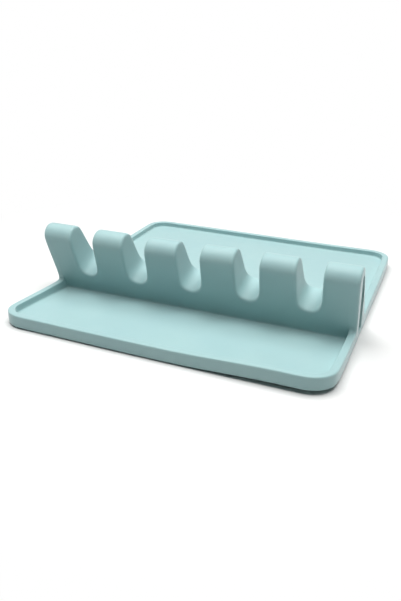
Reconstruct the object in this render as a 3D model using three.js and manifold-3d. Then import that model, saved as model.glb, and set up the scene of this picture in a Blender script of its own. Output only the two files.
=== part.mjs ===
// Utensil rest: a rimmed drip pad with a hollow, forward-leaning comb across it, moulded in soft silicone.
// Millimetres, +Z up, -Y towards the cook. The origin is the middle of the underside.
import * as THREE from "three";
import { mergeVertices } from "three/addons/utils/BufferGeometryUtils.js";
import Module from "manifold-3d";

const wasm = await Module();
wasm.setup();

// Pad
const padWidth = 200;
const padDepth = 205;
const padCornerRadius = 15;
const floorThickness = 4.5;
const trayDepth = 3.5;
const rimWidth = 4.5;
const rimEdgeRadius = 1;
const trayFillet = 1;

// Comb, seen from its end: two faces that lean forward and draw together into a round tip
const combHeight = 46.7;
const tipSetback = 59.4; // front edge of the pad to the centre of the round tip
const tipRadius = 7.8;
const frontLean = 15.5; // degrees from upright
const backLean = 29;
const footFillet = 2.5;
const footLanding = 2; // flat strip between a foot fillet and the end of a tray
const wallThickness = 3.5;

// The slit in each end wall, which leans with the front face and opens into the hollow
const slitSetback = 6.8; // from the front face, measured level
const slitWidth = 9.2; // measured level
const slitDrop = 1; // from the top of the rim down to the lower end of the slit

// Slots for the handles, cut square to the lean
const slotCount = 5;
const slotPitch = 36.3;
const slotWidth = 14; // where the bottom bends begin
const slotBendRadius = 6.4;
const widestBend = 0.46; // largest share of the slot's width that one bend may take
const slotDepth = 27.6; // from the tip, along the lean
const slotDraft = 2.8; // degrees on each side
const toothCornerRadius = 1.5;

// Mesh fineness, and the lengths by which a body runs into or past what it joins or cuts
const arcSteps = 4;
const overrun = 10;
const filletBite = 0.1; // how far a foot fillet sinks into what it joins

const silicone = { color: 0xa9d1ce, roughness: 0.62, metalness: 0 };

const halfWidth = padWidth / 2;
const frontEdge = -padDepth / 2;
const rimHeight = floorThickness + trayDepth;
const slitSill = rimHeight - slitDrop;
const frontAngle = THREE.MathUtils.degToRad(frontLean);
const backAngle = THREE.MathUtils.degToRad(backLean);
const leanAngle = (frontAngle + backAngle) / 2;
const draftAngle = THREE.MathUtils.degToRad(slotDraft);
const front = -1;
const back = 1;
const tipCentre = new THREE.Vector2(frontEdge + tipSetback, combHeight - tipRadius);

// A box that holds the whole rest with room to spare
const outerX = halfWidth + overrun;
const outerY = padDepth / 2 + overrun;
const lowest = -overrun;
const highest = combHeight + overrun;

// A closed three.js geometry as a solid that can be joined and cut
function solid(geometry) {
  geometry.deleteAttribute("normal");
  geometry.deleteAttribute("uv");
  const merged = mergeVertices(geometry, 1e-4);
  const vertProperties = merged.attributes.position.array;
  const triVerts = new Uint32Array(merged.index.array);
  return new wasm.Manifold(new wasm.Mesh({ numProp: 3, vertProperties, triVerts }));
}

function mesh(name, body) {
  const { vertProperties, triVerts } = body.getMesh();
  const geometry = new THREE.BufferGeometry();
  geometry.setAttribute("position", new THREE.BufferAttribute(vertProperties, 3));
  geometry.setIndex(new THREE.BufferAttribute(triVerts, 1));
  geometry.computeVertexNormals();
  const piece = new THREE.Mesh(geometry, new THREE.MeshStandardMaterial(silicone));
  piece.name = name;
  return piece;
}

function block(low, high) {
  const size = high.clone().sub(low);
  const geometry = new THREE.BoxGeometry(size.x, size.y, size.z);
  const middle = low.clone().add(high).multiplyScalar(0.5);
  return solid(geometry.translate(middle.x, middle.y, middle.z));
}

// A rectangle with round corners, centred on the pad and drawn in by an inset all round
function padOutline(inset) {
  const x = halfWidth - inset;
  const y = padDepth / 2 - inset;
  const radius = Math.max(padCornerRadius - inset, rimEdgeRadius + trayFillet);
  const outline = new THREE.Shape();
  outline.absarc(x - radius, y - radius, radius, 0, Math.PI / 2);
  outline.absarc(radius - x, y - radius, radius, Math.PI / 2, Math.PI);
  outline.absarc(radius - x, radius - y, radius, Math.PI, Math.PI * 1.5);
  outline.absarc(x - radius, radius - y, radius, Math.PI * 1.5, Math.PI * 2);
  outline.closePath();
  return outline;
}

// A plate of an outline between two heights, with its edges rounded inside the outline
function roundedPlate(outline, bottom, top, edgeRadius) {
  const geometry = new THREE.ExtrudeGeometry(outline, {
    depth: top - bottom - 2 * edgeRadius,
    bevelThickness: edgeRadius,
    bevelSize: edgeRadius,
    bevelOffset: -edgeRadius,
    bevelSegments: 3,
    curveSegments: arcSteps,
  });
  return solid(geometry.translate(0, 0, bottom + edgeRadius));
}

// How far back a leaning face of the comb lies at a height, when drawn in by an inset
function faceAt(side, z, inset) {
  const angle = side === front ? frontAngle : backAngle;
  const radius = tipRadius - inset;
  const touchY = tipCentre.x + side * radius * Math.cos(angle);
  const touchZ = tipCentre.y + side * radius * Math.sin(angle);
  return touchY + (touchZ - z) * Math.tan(angle);
}

// The comb seen from its end, in (y, z): a round tip on two faces that run down to a base
function combSection(inset, base) {
  const section = new THREE.Shape();
  section.moveTo(faceAt(front, base, inset), base);
  section.lineTo(faceAt(back, base, inset), base);
  section.absarc(tipCentre.x, tipCentre.y, tipRadius - inset, backAngle, Math.PI + frontAngle);
  section.closePath();
  return section;
}

// A hollow fillet between a face of the comb and a level, in (y, z).
// Its arc bites a little into both, and the rest of it lies inside them.
function footSection(side, level) {
  const angle = side === front ? frontAngle : backAngle;
  const reach = footFillet - filletBite;
  const centreZ = level + reach;
  const centreY = faceAt(side, centreZ, 0) + (side * reach) / Math.cos(angle);
  const turn = side === front ? frontAngle : backAngle - Math.PI;
  const buried = level - floorThickness / 2;
  const inside = faceAt(side, level, 0) - side * wallThickness;
  const section = new THREE.Shape();
  section.moveTo(inside, buried);
  section.lineTo(centreY, buried);
  section.absarc(centreY, centreZ, footFillet, -Math.PI / 2, turn, side === back);
  section.lineTo(inside, centreZ + footFillet * Math.sin(turn));
  section.closePath();
  return section;
}

// The slit seen from the end, in (y, z), up past the comb's tip
function slitSection() {
  const top = combHeight + overrun;
  const section = new THREE.Shape();
  section.moveTo(faceAt(front, slitSill, 0) + slitSetback, slitSill);
  section.lineTo(faceAt(front, slitSill, 0) + slitSetback + slitWidth, slitSill);
  section.lineTo(faceAt(front, top, 0) + slitSetback + slitWidth, top);
  section.lineTo(faceAt(front, top, 0) + slitSetback, top);
  section.closePath();
  return section;
}

// A section in (y, z) carried across the pad from one x to another
function acrossPad(section, fromX, toX) {
  const geometry = new THREE.ExtrudeGeometry(section, {
    depth: toX - fromX,
    bevelEnabled: false,
    curveSegments: arcSteps * 2,
  });
  const axes = new THREE.Matrix4().makeBasis(
    new THREE.Vector3(0, 1, 0),
    new THREE.Vector3(0, 0, 1),
    new THREE.Vector3(1, 0, 0),
  );
  return solid(geometry.applyMatrix4(axes).translate(fromX, 0, 0));
}

const slotCentres = Array.from(
  { length: slotCount },
  (_, index) => (index - (slotCount - 1) / 2) * slotPitch,
);

// The comb seen square to its lean: teeth and U slots, drawn in by an inset, out to an end on each side.
// Heights run along the lean, from the centre of the round tip.
function combFace(inset, end) {
  const top = tipRadius - inset;
  const bottom = -combHeight - padDepth;
  const bend = Math.min(slotBendRadius, slotWidth * widestBend);
  const bendX = slotWidth / 2 - bend;
  const bendHeight = tipRadius - slotDepth + bend;
  const corner = Math.max(toothCornerRadius - inset, rimEdgeRadius);
  const rise = top - corner - bendHeight;
  const spread = bend + inset + corner + rise * Math.sin(draftAngle);
  const cornerX = bendX + spread / Math.cos(draftAngle);
  const quarter = Math.PI / 2;
  const face = new THREE.Shape();
  face.moveTo(end, bottom);
  face.lineTo(end, top);
  for (const x of [...slotCentres].reverse()) {
    face.absarc(x + cornerX, top - corner, corner, quarter, 2 * quarter - draftAngle);
    face.absarc(x + bendX, bendHeight, bend + inset, -draftAngle, -quarter, true);
    face.absarc(x - bendX, bendHeight, bend + inset, -quarter, draftAngle - 2 * quarter, true);
    face.absarc(x - cornerX, top - corner, corner, draftAngle, quarter);
  }
  face.lineTo(-end, top);
  face.lineTo(-end, bottom);
  face.closePath();
  return face;
}

// A face of the comb carried through it, square to the lean
function throughComb(face) {
  const reach = combHeight + padDepth;
  const geometry = new THREE.ExtrudeGeometry(face, {
    depth: 2 * reach,
    bevelEnabled: false,
    curveSegments: arcSteps,
  });
  const across = new THREE.Vector3(1, 0, 0);
  const up = new THREE.Vector3(0, -Math.sin(leanAngle), Math.cos(leanAngle));
  const forward = new THREE.Vector3().crossVectors(across, up);
  const place = new THREE.Matrix4().makeBasis(across, up, forward);
  const start = forward.clone().multiplyScalar(-reach);
  place.setPosition(start.x, start.y + tipCentre.x, start.z + tipCentre.y);
  return solid(geometry.applyMatrix4(place));
}

// The moulding as one body
function moulding() {
  const rimmed = roundedPlate(padOutline(0), 0, rimHeight, rimEdgeRadius);
  const recess = roundedPlate(padOutline(rimWidth), floorThickness, rimHeight + overrun, trayFillet);
  let comb = acrossPad(combSection(0, floorThickness / 2), -halfWidth, halfWidth);
  const rimMiddle = halfWidth - rimWidth / 2;
  const rimInside = halfWidth - rimWidth + filletBite;
  for (const side of [front, back]) {
    comb = comb.add(acrossPad(footSection(side, floorThickness), -rimMiddle, rimMiddle));
    comb = comb.add(acrossPad(footSection(side, rimHeight), -halfWidth, -rimInside));
    comb = comb.add(acrossPad(footSection(side, rimHeight), rimInside, halfWidth));
  }
  comb = comb.intersect(throughComb(combFace(0, outerX)));
  const core = acrossPad(combSection(wallThickness, -overrun), -outerX, outerX);
  const slit = core.intersect(acrossPad(slitSection(), -outerX, outerX));
  const endInside = halfWidth - rimWidth; // the end walls stand on the rim and are as thick
  const between = block(
    new THREE.Vector3(-endInside, -outerY, lowest),
    new THREE.Vector3(endInside, outerY, highest),
  );
  const hollow = core.intersect(throughComb(combFace(wallThickness, outerX)));
  const cavity = hollow.intersect(between).add(slit.subtract(between));
  return rimmed.subtract(recess).add(comb).subtract(cavity);
}

// How far a foot fillet spreads from the face, along the level that it runs out on
function flare(side) {
  const angle = side === front ? -frontAngle : backAngle;
  return footFillet * Math.tan(Math.PI / 4 - angle / 2);
}

// The strip of the pad that the comb and its fillets stand on, between the two trays
const stripFront = faceAt(front, rimHeight, 0) - flare(front) - footLanding;
const stripBack = faceAt(back, floorThickness, 0) + flare(back) + footLanding;

const part = new THREE.Group();
const body = moulding();

// The trays lie below the leaning teeth, so their regions stop a fillet's height above the rim
const trayTop = rimHeight + footFillet;
const frontRegion = block(
  new THREE.Vector3(-outerX, -outerY, lowest),
  new THREE.Vector3(outerX, stripFront, trayTop),
);
const rearRegion = block(
  new THREE.Vector3(-outerX, stripBack, lowest),
  new THREE.Vector3(outerX, outerY, trayTop),
);
part.add(mesh("front_tray", body.intersect(frontRegion)));
part.add(mesh("rear_tray", body.intersect(rearRegion)));

// One tooth with its share of the two slots beside it, from the middle of one slot to the next
const comb = body.subtract(frontRegion).subtract(rearRegion);
const toothEdges = [-outerX, ...slotCentres, outerX];
for (let tooth = 1; tooth < toothEdges.length; tooth += 1) {
  const region = block(
    new THREE.Vector3(toothEdges[tooth - 1], -outerY, lowest),
    new THREE.Vector3(toothEdges[tooth], outerY, highest),
  );
  part.add(mesh(`comb_tooth_${tooth}`, comb.intersect(region)));
}

export default part;
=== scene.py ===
import math

import bmesh
import bpy
from mathutils import Matrix, Vector


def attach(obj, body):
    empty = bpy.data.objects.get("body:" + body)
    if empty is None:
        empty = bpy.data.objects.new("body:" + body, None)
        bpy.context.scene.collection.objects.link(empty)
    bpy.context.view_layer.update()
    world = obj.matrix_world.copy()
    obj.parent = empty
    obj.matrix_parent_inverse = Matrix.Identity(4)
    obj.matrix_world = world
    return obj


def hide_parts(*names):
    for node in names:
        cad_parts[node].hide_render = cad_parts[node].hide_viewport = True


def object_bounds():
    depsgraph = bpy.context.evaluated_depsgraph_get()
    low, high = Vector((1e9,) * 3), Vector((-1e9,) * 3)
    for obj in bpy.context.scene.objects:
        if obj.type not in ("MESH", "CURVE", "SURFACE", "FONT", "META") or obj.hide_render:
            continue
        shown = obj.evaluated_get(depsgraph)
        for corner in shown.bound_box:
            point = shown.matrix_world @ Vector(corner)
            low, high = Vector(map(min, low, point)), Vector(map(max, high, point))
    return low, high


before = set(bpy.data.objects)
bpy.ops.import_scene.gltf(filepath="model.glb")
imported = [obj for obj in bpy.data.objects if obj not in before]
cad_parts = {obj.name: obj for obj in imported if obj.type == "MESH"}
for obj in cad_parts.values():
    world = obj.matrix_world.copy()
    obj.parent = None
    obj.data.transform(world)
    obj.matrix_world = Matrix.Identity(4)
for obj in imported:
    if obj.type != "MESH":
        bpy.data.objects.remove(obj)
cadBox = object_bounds()
mm = 0.001

# One continuous silicone moulding over all the solids, sizes in mm as on the solids
moulding = {
    "halfWidth": cadBox[1][0] / mm,
    "halfDepth": cadBox[1][1] / mm,
    "cornerRadius": 15.0,
    "frontFloor": 3.7,
    "frontFoot": 2.6,  # the front tray falls away towards the comb
    "rearFloor": 4.5,
    "rimTop": 8.0,
    "wall": 3.5,
    "tipY": -43.1,  # centre of the comb's round tip
    "tipZ": 38.9,
    "tipRadius": 7.8,
    "lean": 22.25,  # degrees, of the comb's middle plane
    "taper": 6.75,  # degrees, from the middle plane to either face
    "slotPitch": 36.3,
    "slotCount": 5,
    "slotDepth": 27.6,  # from the tip, along the lean
    "slotDraft": 1.6,  # degrees on each side
    "bendRadius": 6.2,
    "bendOffset": 0.8,  # from the slot's middle to the centre of a bend
    "lipReach": 2.8,  # cage spacing at the slot lips, which rounds them to about 1.6
    "innerReach": 1.2,  # the same inside the hollow
    "shoulderTurn": 44.0,  # degrees from row to row, where a slot's side meets the round tip
    "shoulderDrop": (0.4, 1.6),  # below the end of the round tip, at the lip and on the face
    "edgeTurn": 2.75,  # rows from the top to where a tooth's edge meets its face
    "facePush": 1.01,  # how far out the cage stands where the round tip meets the face
    "faceMargin": 2.2,  # on the face, the line inside a tooth's edge, in cage spacings
    "footReach": 2.4,  # cage spacing at the foot fillets, which rounds them to about 1.4
    "rimReach": 6.0,  # the same where the rim sweeps up into the comb's ends
    "soleReach": 2.0,  # and on the underside
    "endX": 89.4,  # column between the end slots and the side rims
    "endBand": 2.4,  # cage spacing on the end faces, inside their outline
    "hollowEnd": 86.8,  # where the hollow under the comb stops, near the ends
    "hollowLip": 0.8,  # the underside at its ends, above the ground
    "frontRows": (-94.9, -91.2, -87.5, -70.0),  # y of the rows on the front tray and the rear tray
    "rearRows": (40.0, 87.5, 91.2, 94.9),
    "slitOutline": (  # in each end face, as (y, z) over the top from its front to its back
        (-36.4, 7.0), (-39.1, 22.5), (-41.0, 31.3), (-42.6, 38.7), (-40.9, 42.0),
        (-37.1, 38.8), (-34.5, 33.3), (-30.3, 24.6), (-28.0, 7.5),
    ),
    "slitSill": ((-36.0, 4.9), (-28.0, 4.9)),
    "slitDepth": 2.5,  # the thickness of the end wall at the slit
    "slitCrease": 0.9,  # how sharp its mouth is
    # lift of the soft front and rear edges: at left and right, x between those, y from flat to full
    "curls": (
        ((0.45, 2.3), (10.0, 75.0), (-62.0, -102.5)),
        ((1.9, 0.8), (-90.0, 60.0), (20.0, 102.5)),
    ),
    "bow": 1.0,  # how far the soft front edge bulges forwards, away from its left corner
    "bowAcross": (-100.0, 0.0),
    "bowAlong": (-62.0, -102.5),
    # the comb climbs to the right: lift at left and right, x between those, and z from none to full, first
    # from below and then from above
    "climbs": (
        ((-1.3, 0.65), (-75.0, 40.0), (6.0, 18.0), (46.0, 24.0)),  # bottoms of the slots
        ((0.0, 0.8), (-20.0, 40.0), (24.0, 46.0), (80.0, 60.0)),  # tips of the teeth, full to the top
    ),
    "tilt": (-2.3, 1.5),  # how far the left end tooth stands outwards at its foot and at its tip
    "tiltAcross": (-55.0, -100.0),
    "tiltUp": (8.0, 48.0),
    "tiltFront": (-98.0, -50.0),  # y from the pad's plain edge to the comb, in front and behind
    "tiltBehind": (14.0, -36.0),
    "smoothness": 2,  # levels of subdivision
}

# Columns of the cage from a slot's middle to the middle of a tooth
halfPitch = moulding["slotPitch"] / 2
floorColumns = (0.0, 2.07, 4.13, 6.2, 8.27, 10.33, 12.4, halfPitch)
wallColumns = (0.0, 3.6, 7.0, 9.0, 10.8, 12.6, 14.4, halfPitch)
hollowColumns = (0.0, 5.5, 10.6, 11.7, 12.7, 13.7, 14.8, halfPitch)
sideColumn, shoulderColumn, edgeColumn, tipColumn, middleColumn = 3, 4, 5, 6, 7

# Rings of the cage round the pad, from its underside up over the rim and down to the tray floor: inset on
# the pad, inset on the comb, share of the way from rim top to floor, and share of the way down the side
rimRings = (
    (3.0, 3.0, 0.0, 1.0),
    (0.0, 0.0, 0.0, 1.0),
    (0.0, 0.0, 0.0, 0.8),
    (0.0, 0.0, 0.0, 0.62),
    (0.0, 0.0, 0.0, 0.46),
    (0.0, 0.0, 0.0, 0.22),
    (0.0, 0.0, 0.0, 0.0),
    (1.6, 3.0, 0.0, 0.0),
    (3.9, 4.2, 0.0, 0.0),
    (4.4, 5.2, 0.0, 0.0),
    (4.4, 6.2, 0.55, 0.0),
    (4.5, 7.0, 1.0, 0.0),
    (5.9, 7.8, 1.0, 0.0),
)
sillRing, slitRing, bandRing, outlineRing = 3, 4, 5, 6
topRing = len(rimRings) - 1

# Rows of the cage from the front edge to the rear edge
frontFloorRow, frontApronRow, frontFootRow, frontWallRow = 3, 4, 5, 6
tipRow = 10
backWallRow, backFootRow, backApronRow, rearFloorRow = 14, 15, 16, 17
lastRow = 20
front, back = -1, 1

lean = math.radians(moulding["lean"])
taper = math.radians(moulding["taper"])
draft = math.radians(moulding["slotDraft"])
tipStep = (90 - moulding["taper"]) / 3  # degrees from one row to the next over the round tip
bendStep = 45  # degrees from one column to the next round a slot's bend
cornerStep = 22.5  # degrees from one cage point to the next round a corner of the pad
bendHeight = moulding["tipRadius"] - moulding["slotDepth"] + moulding["bendRadius"]


def arcPush(step):
    # how far out a cage point stands from the arc it rounds to
    return 1 / (2 / 3 + math.cos(math.radians(step)) / 3)


def faceY(side, z, inset):
    # how far back a leaning face of the comb lies at a height
    angle = lean + side * taper
    radius = moulding["tipRadius"] - inset
    y = moulding["tipY"] + side * radius * math.cos(angle)
    return y + (moulding["tipZ"] + side * radius * math.sin(angle) - z) * math.tan(angle)


def halfThickness(along, inset):
    # from the comb's middle plane to a face, at a height along the lean
    return (moulding["tipRadius"] - inset) / math.cos(taper) - along * math.tan(taper)


def slotSide(along, inset):
    # from a slot's middle to its side, at a height along the lean
    bend = moulding["bendRadius"] + inset
    return moulding["bendOffset"] + (bend + (along - bendHeight) * math.sin(draft)) / math.cos(draft)


def onComb(x, along, through):
    # heights along the lean and depths through the comb, from the tip's centre
    y = moulding["tipY"] - along * math.sin(lean) + through * math.cos(lean)
    z = moulding["tipZ"] + along * math.cos(lean) + through * math.sin(lean)
    return Vector((x, y, z))


def lipPoint(column, away, inset, reach):
    # the U of a slot: 3 on the comb's face, 2 at the lip, 1 inside, 0 in the middle
    bend = (moulding["bendRadius"] + inset) * arcPush(bendStep)
    half = math.sqrt(0.5)  # sine and cosine of one step round the bend
    middle = (bendHeight + (moulding["tipRadius"] - inset) * math.sin(taper)) / 2
    points = (
        (0.0, bendHeight - bend),
        (moulding["bendOffset"] + bend * half, bendHeight - bend * half),
        (slotSide(bendHeight, inset), bendHeight),
        (slotSide(middle, inset), middle),
    )
    inward = ((0.0, -1.0), (half, -half), (1.0, 0.0), (1.0, 0.0))
    spread = reach if away == 3 else 0.0
    x = points[column][0] + inward[column][0] * spread
    along = points[column][1] + inward[column][1] * spread
    depth = halfThickness(along, inset)
    return x, along, (0.0, depth - reach, depth, depth)[away]


def shoulderPoint(away, inset, reach):
    # the top of a slot's side, where the lip turns up and over the tooth
    radius = moulding["tipRadius"] - inset
    turn = math.radians(moulding["shoulderTurn"] * away)
    if away < 2:
        along, through = (radius - reach) * math.cos(turn), (radius - reach) * math.sin(turn)
        return slotSide(along, inset), along, through
    along = radius * math.sin(taper) - moulding["shoulderDrop"][away - 2]
    return slotSide(along, inset) + (reach if away == 3 else 0.0), along, halfThickness(along, inset)


def tipPoint(column, away, inset, reach):
    # the round tip of a tooth: its edge, a line just inside the edge, or its middle
    radius = moulding["tipRadius"] - inset
    onFace = away == 3
    turn = math.radians(tipStep * (moulding["edgeTurn"] if column == edgeColumn and onFace else away))
    push = moulding["facePush"] if onFace else arcPush(tipStep)
    along, through = radius * math.cos(turn) * push, radius * math.sin(turn) * push
    if column == middleColumn:
        return halfPitch, along, through
    if column == edgeColumn:
        inside = 1.0 if onFace else 0.0
    else:
        inside = moulding["faceMargin"] if onFace else 1.0
    return slotSide(along, inset) + inside * reach, along, through


def combPoint(column, step, inset):
    # a point of the comb, by rows from its top: from the slot's middle, along the lean and through the comb
    reach = moulding["lipReach"] if inset == 0 else moulding["innerReach"]
    away = abs(step)
    if column <= sideColumn:
        x, along, through = lipPoint(column, away, inset, reach)
    elif column == shoulderColumn:
        x, along, through = shoulderPoint(away, inset, reach)
    else:
        x, along, through = tipPoint(column, away, inset, reach)
    return x, along, through if step > 0 else -through


def floorLevel(row):
    # the upper skin's level on the trays and at the comb's feet
    if row <= frontFloorRow:
        return moulding["frontFloor"]
    return moulding["frontFoot"] if row < tipRow else moulding["rearFloor"]


def rimLevel(row, share):
    # a height on the rim, as a share of the way from its top to the tray's floor
    return moulding["rimTop"] + (floorLevel(row) - moulding["rimTop"]) * share


def sectionPoint(row, level, inset):
    # the rows beside the comb, from its end: (y, z) at a floor level
    if row <= frontFloorRow:
        return moulding["frontRows"][row], level
    if row >= rearFloorRow:
        return moulding["rearRows"][row - rearFloorRow], level
    side = front if row < tipRow else back
    upRim = (level - floorLevel(row)) / (moulding["rimTop"] - floorLevel(row))
    reach = moulding["footReach"] + (moulding["rimReach"] - moulding["footReach"]) * upRim
    reach = moulding["soleReach"] if level == 0 else reach
    if row in (frontApronRow, backApronRow):
        return faceY(side, level, inset) + side * reach, level
    if row in (frontFootRow, backFootRow):
        return faceY(side, level, inset), level
    z = level + reach * math.cos(lean + side * taper)
    return faceY(side, z, inset), z


# Columns across the pad: (slot's middle, direction, column of the profile), or an end column
columns = [("end", -1, 0), ("end", -1, 0)]
for slot in range(moulding["slotCount"]):
    middle = (slot - (moulding["slotCount"] - 1) / 2) * moulding["slotPitch"]
    columns += [(middle, -1, number) for number in range(tipColumn, 0, -1)]
    columns += [(middle, 1, number) for number in range(0, middleColumn)]
    if slot < moulding["slotCount"] - 1:
        columns.append((middle, 1, middleColumn))
columns += [("end", 1, 0), ("end", 1, 0)]
lastColumn = len(columns) - 1


def between(low, high, row):
    # an even share of the way from one side of the comb to the other
    return low + (high - low) * (row - frontFootRow) / (backFootRow - frontFootRow)


def sheetPoint(column, row, under):
    # a point of the upper skin or the underside, away from the rim
    middle, direction, number = columns[column]
    inset = moulding["wall"] if under else 0.0
    level = 0.0 if under else floorLevel(row)
    end = middle == "end"
    if under and end and frontFootRow <= row <= backFootRow:
        y = between(faceY(front, 0.0, inset), faceY(back, 0.0, inset), row)
        return Vector((direction * moulding["hollowEnd"], y, moulding["hollowLip"]))
    if frontWallRow < row < backWallRow:
        x, along, through = combPoint(middleColumn if end else number, row - tipRow, inset)
        return onComb(direction * moulding["endX"] if end else middle + direction * x, along, through)
    y, z = sectionPoint(row, level, inset)
    if end:
        return Vector((direction * (moulding["hollowEnd"] if under else moulding["endX"]), y, z))
    onWall = hollowColumns if under else wallColumns
    if row in (frontWallRow, backWallRow):
        x = onWall[number]
    elif row in (frontFootRow, backFootRow):
        x = (onWall[number] + floorColumns[number]) / 2
    else:
        x = floorColumns[number]
    return Vector((middle + direction * x, y, z))


def endPoint(row, ring):
    # a point of the comb's end as (inset from the end, y, z)
    inset, combInset, share, drop = rimRings[ring]
    level = rimLevel(row, share)
    onTip = frontWallRow < row < backWallRow
    if ring >= outlineRing:
        if onTip:
            return (combInset, *onComb(0.0, *combPoint(middleColumn, row - tipRow, 0.0)[1:])[1:])
        return (inset, *sectionPoint(row, level, 0.0))
    bottomY = between(faceY(front, level, 0.0), faceY(back, level, 0.0), row)
    z = level * (1 - drop)
    atFoot = row in (frontFootRow, backFootRow)
    if ring < sillRing or (ring == bandRing and atFoot):
        return inset, bottomY, z
    if ring == bandRing and onTip:
        return (inset, *onComb(0.0, *combPoint(middleColumn, row - tipRow, moulding["endBand"])[1:])[1:])
    if ring == bandRing:
        return (inset, *sectionPoint(row, level, moulding["endBand"]))
    if atFoot:
        return inset, bottomY + (moulding["endBand"] if row == frontFootRow else -moulding["endBand"]), z
    if ring == slitRing:
        return (inset, *moulding["slitOutline"][row - frontWallRow])
    along = (row - frontWallRow) / (backWallRow - frontWallRow)
    (frontY, z), (backY, z) = moulding["slitSill"]
    return inset, frontY + (backY - frontY) * along, z


def ringPoint(column, row, ring):
    # a point of the rim, or of the comb's end where the rim meets it
    inset, _, share, drop = rimRings[ring]
    level = rimLevel(row, share)
    sideX = -1 if column <= lastColumn / 2 else 1
    sideY = -1 if row <= lastRow / 2 else 1
    fromSide = min(column, lastColumn - column)
    fromFront = min(row, lastRow - row)
    z = level * (1 - drop)
    if fromSide + fromFront <= 1:  # on a corner's arc
        radius = (moulding["cornerRadius"] - inset) * arcPush(cornerStep)
        turn = math.radians(45 + cornerStep * (fromFront - fromSide))
        x = moulding["halfWidth"] - moulding["cornerRadius"] + radius * math.sin(turn)
        y = moulding["halfDepth"] - moulding["cornerRadius"] + radius * math.cos(turn)
        return Vector((sideX * x, sideY * y, z))
    if fromFront == 0:
        middle, direction, number = columns[column]
        x = middle + direction * floorColumns[number]
        return Vector((x, sideY * (moulding["halfDepth"] - inset), z))
    if frontFootRow <= row <= backFootRow:
        endInset, y, z = endPoint(row, ring)
        return Vector((sideX * (moulding["halfWidth"] - endInset), y, z))
    upper = sectionPoint(row, level, 0.0)[0]
    lower = sectionPoint(row, 0.0, moulding["wall"])[0]
    return Vector((sideX * (moulding["halfWidth"] - inset), upper + (lower - upper) * drop, z))


def ramp(value, span):
    # a smooth rise from 0 to 1 over a span
    share = min(max((value - span[0]) / (span[1] - span[0]), 0.0), 1.0)
    return share * share * (3 - 2 * share)


def cagePoint(column, row, ring):
    # where a cell's corner goes, with the slight bends of the soft specimen
    onRing = column in (0, lastColumn) or row in (0, lastRow)
    point = ringPoint(column, row, ring) if onRing else sheetPoint(column, row, ring == 0)
    foot, tip = moulding["tilt"]
    foot *= ramp(point.y, moulding["tiltFront"]) * ramp(point.y, moulding["tiltBehind"])
    tilt = foot + (tip - foot) * ramp(point.z, moulding["tiltUp"])
    tilt *= ramp(point.x, moulding["tiltAcross"])
    lift = 0.0
    for (left, right), across, up, down in moulding["climbs"]:
        climb = left + (right - left) * ramp(point.x, across)
        lift += climb * ramp(point.z, up) * ramp(point.z, down)
    for (left, right), across, along in moulding["curls"]:
        lift += (left + (right - left) * ramp(point.x, across)) * ramp(point.y, along)
    bow = moulding["bow"] * ramp(point.x, moulding["bowAcross"]) * ramp(point.y, moulding["bowAlong"])
    return point + Vector((-tilt, -bow, lift))


def cellSpan(face):
    # the columns, rows and rings that a face of the plain block touches
    return ({round(vert.co[axis]) for vert in face.verts} for axis in range(3))


def inSlit(face):
    # whether a face of the plain block lies in the mouth of an end slit
    columnsAt, rowsAt, ringsAt = cellSpan(face)
    atEnd = columnsAt in ({0}, {lastColumn}) and ringsAt == {sillRing, slitRing}
    return atEnd and min(rowsAt) >= frontWallRow and max(rowsAt) <= backWallRow


def inHollowEnd(face):
    # whether it closes the hollow under the comb, behind an end slit
    columnsAt, rowsAt, ringsAt = cellSpan(face)
    atEnd = columnsAt in ({1, 2}, {lastColumn - 2, lastColumn - 1}) and ringsAt == {0}
    return atEnd and min(rowsAt) >= frontWallRow and max(rowsAt) <= backWallRow


def openSlits(bm, slitFaces, hollowEnds):
    # a dark slit with a sharp mouth in each end face, through to the hollow under the comb
    crease = bm.edges.layers.float.new("crease_edge")
    for face in slitFaces:
        for edge in face.edges:
            if sum(other in slitFaces for other in edge.link_faces) == 1:
                edge[crease] = moulding["slitCrease"]
    made = bmesh.ops.extrude_face_region(bm, geom=slitFaces)["geom"]
    for vert in made:
        if isinstance(vert, bmesh.types.BMVert):
            vert.co.x -= math.copysign(moulding["slitDepth"] * mm, vert.co.x)
    sunk = [face for face in made if isinstance(face, bmesh.types.BMFace)]
    bmesh.ops.delete(bm, geom=slitFaces + sunk + hollowEnds, context="FACES")
    for side in (-1, 1):
        mouths = [edge for edge in bm.edges if edge.is_boundary and edge.verts[0].co.x * side > 0]
        bmesh.ops.bridge_loops(bm, edges=mouths)


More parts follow.
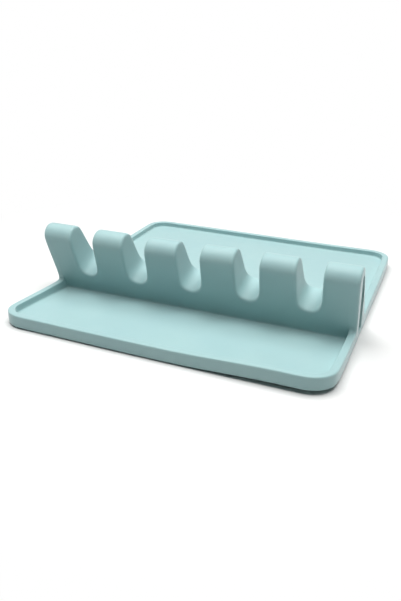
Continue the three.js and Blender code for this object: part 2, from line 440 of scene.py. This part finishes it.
def buildMoulding(material):
    # a plain block of cells, one for each column, row and ring, folded into the moulding's shape
    bm = bmesh.new()
    bmesh.ops.create_grid(bm, x_segments=lastColumn, y_segments=lastRow, size=0.5)
    cells = Matrix.Diagonal((lastColumn, lastRow, 1, 1))
    bmesh.ops.transform(bm, matrix=cells, verts=bm.verts)
    bmesh.ops.translate(bm, vec=(lastColumn / 2, lastRow / 2, 0), verts=bm.verts)
    made = bmesh.ops.extrude_face_region(bm, geom=bm.faces[:], use_keep_orig=True)
    raised = [item for item in made["geom"] if isinstance(item, bmesh.types.BMVert)]
    bmesh.ops.translate(bm, vec=(0, 0, topRing), verts=raised)
    upright = [edge for edge in bm.edges if abs(edge.verts[0].co.z - edge.verts[1].co.z) > 0.5]
    bmesh.ops.subdivide_edges(bm, edges=upright, cuts=topRing - 1, use_grid_fill=True)
    slitFaces = [face for face in bm.faces if inSlit(face)]
    hollowEnds = [face for face in bm.faces if inHollowEnd(face)]
    for vert in bm.verts:
        vert.co = cagePoint(*(round(value) for value in vert.co)) * mm
    openSlits(bm, slitFaces, hollowEnds)
    bmesh.ops.recalc_face_normals(bm, faces=bm.faces)
    mesh = bpy.data.meshes.new("siliconeMoulding")
    bm.to_mesh(mesh)
    bm.free()
    mesh.shade_smooth()
    piece = bpy.data.objects.new("silicone_moulding", mesh)
    bpy.context.scene.collection.objects.link(piece)
    smooth = piece.modifiers.new("smooth", "SUBSURF")
    smooth.levels = smooth.render_levels = moulding["smoothness"]
    mesh.materials.append(material)
    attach(piece, "root")
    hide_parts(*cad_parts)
    print("moulding:", len(mesh.vertices), "cage points,", len(mesh.polygons), "cage faces")


def linear(code):
    # an sRGB hex colour as linear light
    parts = [int(code[place:place + 2], 16) / 255 for place in (1, 3, 5)]
    return [part / 12.92 if part <= 0.04045 else ((part + 0.055) / 1.055) ** 2.4 for part in parts] + [1.0]


def addNode(tree, kind, settings=None, **inputs):
    # one node, its settings, and its inputs as values or as sockets to link from
    node = tree.nodes.new(kind)
    for name, value in (settings or {}).items():
        setattr(node, name, value)
    for name, value in inputs.items():
        socket = node.inputs[name.replace("_", " ")]
        if isinstance(value, bpy.types.NodeSocket):
            tree.links.new(value, socket)
        else:
            socket.default_value = value
    return node


def newMaterial(name):
    # an empty material and its node tree
    material = bpy.data.materials.new(name)
    material.use_nodes = True
    material.node_tree.nodes.clear()
    return material, material.node_tree


siliconeLook = {
    "pale": "#A1C0BF",
    "deep": "#97B8BB",
    "cloudMm": 45.0,  # slight unevenness of the pigment
    "mottleMm": 6.0,
    "mottleSpan": (0.3, 0.7),  # the part of the noise that runs from satin to matte
    "satin": 0.38,  # roughness where the mould was polished by use
    "matte": 0.5,
    "grainMm": 1.1,  # the real blasted mould is about 0.2, too fine to show at this size
    "grainDepth": 0.03,
    "grainStrength": 0.25,
    "waveMm": 38.0,  # the soft sheet never lies quite flat
    "waveDepth": 0.35,
    "ior": 1.41,  # of silicone rubber
    "gloss": 0.3,
    "sheen": 0.35,
    "sheenSpread": 0.4,
    "glow": 0.12,  # share of the light that sinks in
    "glowMm": 1.2,
    "glowTint": (0.7, 1.0, 1.0),  # red sinks in less far, as in a teal body
}


def mouldedSilicone():
    # soft silicone from a blasted mould: matte, a dusty sheen at the edges of forms, some light sinking in
    material, tree = newMaterial("moulded silicone rubber")
    coords = addNode(tree, "ShaderNodeTexCoord").outputs["Object"]

    def noise(size, detail):
        scale = 1 / (siliconeLook[size] * mm)
        node = addNode(tree, "ShaderNodeTexNoise", Vector=coords, Scale=scale, Detail=detail)
        return node.outputs["Fac"]

    colour = addNode(tree, "ShaderNodeMix", {"data_type": "RGBA"})
    tree.links.new(noise("cloudMm", 2.0), colour.inputs[0])
    colour.inputs[6].default_value = linear(siliconeLook["deep"])
    colour.inputs[7].default_value = linear(siliconeLook["pale"])
    roughness = addNode(tree, "ShaderNodeMapRange", Value=noise("mottleMm", 3.0))
    roughness.inputs["From Min"].default_value = siliconeLook["mottleSpan"][0]
    roughness.inputs["From Max"].default_value = siliconeLook["mottleSpan"][1]
    roughness.inputs["To Min"].default_value = siliconeLook["satin"]
    roughness.inputs["To Max"].default_value = siliconeLook["matte"]
    wave = addNode(
        tree,
        "ShaderNodeBump",
        Distance=siliconeLook["waveDepth"] * mm,
        Height=noise("waveMm", 1.0),
    )
    grain = addNode(
        tree,
        "ShaderNodeBump",
        Strength=siliconeLook["grainStrength"],
        Distance=siliconeLook["grainDepth"] * mm,
        Height=noise("grainMm", 3.0),
        Normal=wave.outputs["Normal"],
    )
    skin = addNode(
        tree,
        "ShaderNodeBsdfPrincipled",
        Base_Color=colour.outputs[2],
        Roughness=roughness.outputs["Result"],
        IOR=siliconeLook["ior"],
        Specular_IOR_Level=siliconeLook["gloss"],
        Subsurface_Weight=siliconeLook["glow"],
        Subsurface_Scale=siliconeLook["glowMm"] * mm,
        Sheen_Weight=siliconeLook["sheen"],
        Sheen_Roughness=siliconeLook["sheenSpread"],
        Normal=grain.outputs["Normal"],
    )
    skin.inputs["Subsurface Radius"].default_value = siliconeLook["glowTint"]
    addNode(tree, "ShaderNodeOutputMaterial", Surface=skin.outputs["BSDF"])
    print("material:", material.name)
    return material


studio = {
    "floorSeen": "#E2E2E1",  # as the camera sees it
    "floorColour": "#DADAD9",  # as it lights the part, a little darker to keep the shaded walls deep
    "floorHalf": 1.5,  # metres from the middle to an edge
    "clearFrom": 0.13,  # metres from the middle, where the floor starts to fade into white
    "clearTo": 0.26,
    "skyStrength": 0.02,  # as it lights the part
    "keyPlace": (-0.05, 0.03, 1.0),  # overhead, facing straight down
    "keySize": (1.3, 0.95),  # across and along the part
    "keyPower": 20.9,
}


def seenRays(tree):
    # 1 for the rays by which the eye sees a background: straight, mirrored or through glass
    path = addNode(tree, "ShaderNodeLightPath")
    seen = path.outputs["Is Camera Ray"]
    for ray in ("Is Glossy Ray", "Is Transmission Ray"):
        either = addNode(tree, "ShaderNodeMath", {"operation": "MAXIMUM"})
        tree.links.new(seen, either.inputs[0])
        tree.links.new(path.outputs[ray], either.inputs[1])
        seen = either.outputs["Value"]
    return seen


def buildStudio():
    # matt paper that takes the part's shadow and fades to plain white away from it
    material, tree = newMaterial("white paper floor")
    coords = addNode(tree, "ShaderNodeTexCoord").outputs["Object"]
    away = addNode(tree, "ShaderNodeVectorMath", {"operation": "LENGTH"}, Vector=coords).outputs["Value"]
    fade = addNode(tree, "ShaderNodeMapRange", {"interpolation_type": "SMOOTHSTEP"}, Value=away)
    fade.inputs["From Min"].default_value = studio["clearFrom"]
    fade.inputs["From Max"].default_value = studio["clearTo"]
    shade = addNode(tree, "ShaderNodeMix", {"data_type": "RGBA"})
    tree.links.new(seenRays(tree), shade.inputs[0])
    shade.inputs[6].default_value = linear(studio["floorColour"])
    shade.inputs[7].default_value = linear(studio["floorSeen"])
    paper = addNode(tree, "ShaderNodeBsdfDiffuse", Color=shade.outputs[2])
    white = addNode(tree, "ShaderNodeEmission", Strength=1.0)
    mixed = addNode(tree, "ShaderNodeMixShader", Fac=fade.outputs["Result"])
    tree.links.new(paper.outputs["BSDF"], mixed.inputs[1])
    tree.links.new(white.outputs["Emission"], mixed.inputs[2])
    addNode(tree, "ShaderNodeOutputMaterial", Surface=mixed.outputs["Shader"])
    bm = bmesh.new()
    bmesh.ops.create_grid(bm, x_segments=1, y_segments=1, size=studio["floorHalf"])
    mesh = bpy.data.meshes.new("paperFloor")
    bm.to_mesh(mesh)
    bm.free()
    mesh.materials.append(material)
    floor = bpy.data.objects.new("paper_floor", mesh)
    bpy.context.scene.collection.objects.link(floor)

    world = bpy.data.worlds.new("white studio")
    bpy.context.scene.world = world
    world.use_nodes = True
    tree = world.node_tree
    tree.nodes.clear()
    strength = addNode(tree, "ShaderNodeMapRange", Value=seenRays(tree))
    strength.inputs["To Min"].default_value = studio["skyStrength"]
    strength.inputs["To Max"].default_value = 1.0
    sky = addNode(tree, "ShaderNodeBackground", Strength=strength.outputs["Result"])
    sky.inputs["Color"].default_value = (1, 1, 1, 1)
    addNode(tree, "ShaderNodeOutputWorld", Surface=sky.outputs["Background"])

    lamp = bpy.data.lights.new("softbox", "AREA")
    lamp.shape = "RECTANGLE"
    lamp.size, lamp.size_y = studio["keySize"]
    lamp.energy = studio["keyPower"]
    key = bpy.data.objects.new("softbox", lamp)
    key.location = studio["keyPlace"]
    bpy.context.scene.collection.objects.link(key)
    print("studio: floor, sky and softbox")


# The photo's camera, solved from the edges of the pad, in metres and degrees
viewpoint = {
    "place": (0.1386, -0.3541, 0.1621),
    "yaw": 23.16,
    "pitch": 24.08,
    "roll": 0.41,
    "focalPixels": 608.1,
    "frameHeight": 601,
    "sensor": 36.0,
    "near": 0.01,
}


def buildCamera():
    data = bpy.data.cameras.new("camera")
    data.sensor_width = viewpoint["sensor"]
    data.lens = viewpoint["focalPixels"] / viewpoint["frameHeight"] * viewpoint["sensor"]
    data.clip_start = viewpoint["near"]
    camera = bpy.data.objects.new("camera", data)
    turn = Matrix.Rotation(math.radians(viewpoint["yaw"]), 4, "Z")
    tilt = Matrix.Rotation(math.radians(90 - viewpoint["pitch"]), 4, "X")
    roll = Matrix.Rotation(math.radians(viewpoint["roll"]), 4, "Z")
    camera.matrix_world = Matrix.Translation(viewpoint["place"]) @ turn @ tilt @ roll
    bpy.context.scene.collection.objects.link(camera)
    bpy.context.scene.camera = camera
    print("camera: lens", round(data.lens, 2), "mm")


buildMoulding(mouldedSilicone())
buildStudio()
buildCamera()
bpy.context.scene.view_settings.view_transform = "Standard"
